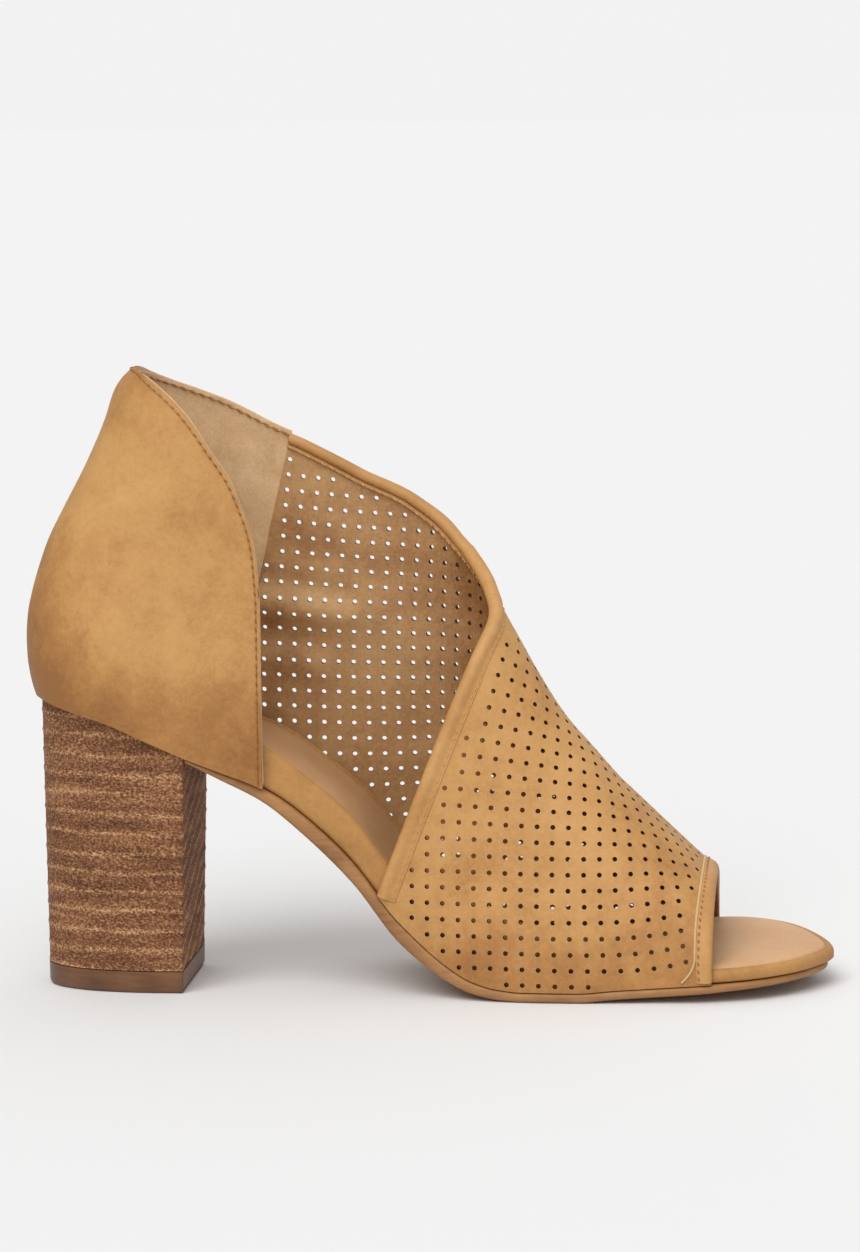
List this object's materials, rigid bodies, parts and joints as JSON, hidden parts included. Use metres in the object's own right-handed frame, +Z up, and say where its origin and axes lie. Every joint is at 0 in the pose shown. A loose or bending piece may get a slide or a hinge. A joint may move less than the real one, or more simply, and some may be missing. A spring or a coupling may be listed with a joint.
{
  "type": "high heel shoe",
  "caption": "Left high heel shoe: open toe, perforated vamp, closed counter with a cut-out on the inner side, and a stacked block heel.",
  "frame": {"origin": "on the floor, at the middle of the heel's floor face", "axes": "+X to the toe, +Y to the outer side of the foot, +Z up"},
  "size_m": [0.2366, 0.0776, 0.1814],
  "materials": {
    "upper_leather": "matt, buffed like nubuck",
    "binding_leather": "matt",
    "rand_leather": "matt",
    "sock_leather": "satin",
    "outsole_rubber": "matt",
    "stacked_leather": "grainy, in thin layers",
    "tip_rubber": "satin"
  },
  "bodies": {
    "root": {"upper": "upper_leather", "topline_binding": "binding_leather", "toe_binding": "binding_leather", "insole_board": "rand_leather", "insole": "sock_leather", "outsole": "outsole_rubber", "heel_stack": "stacked_leather", "heel_tip": "tip_rubber"}
  },
  "joints": []
}
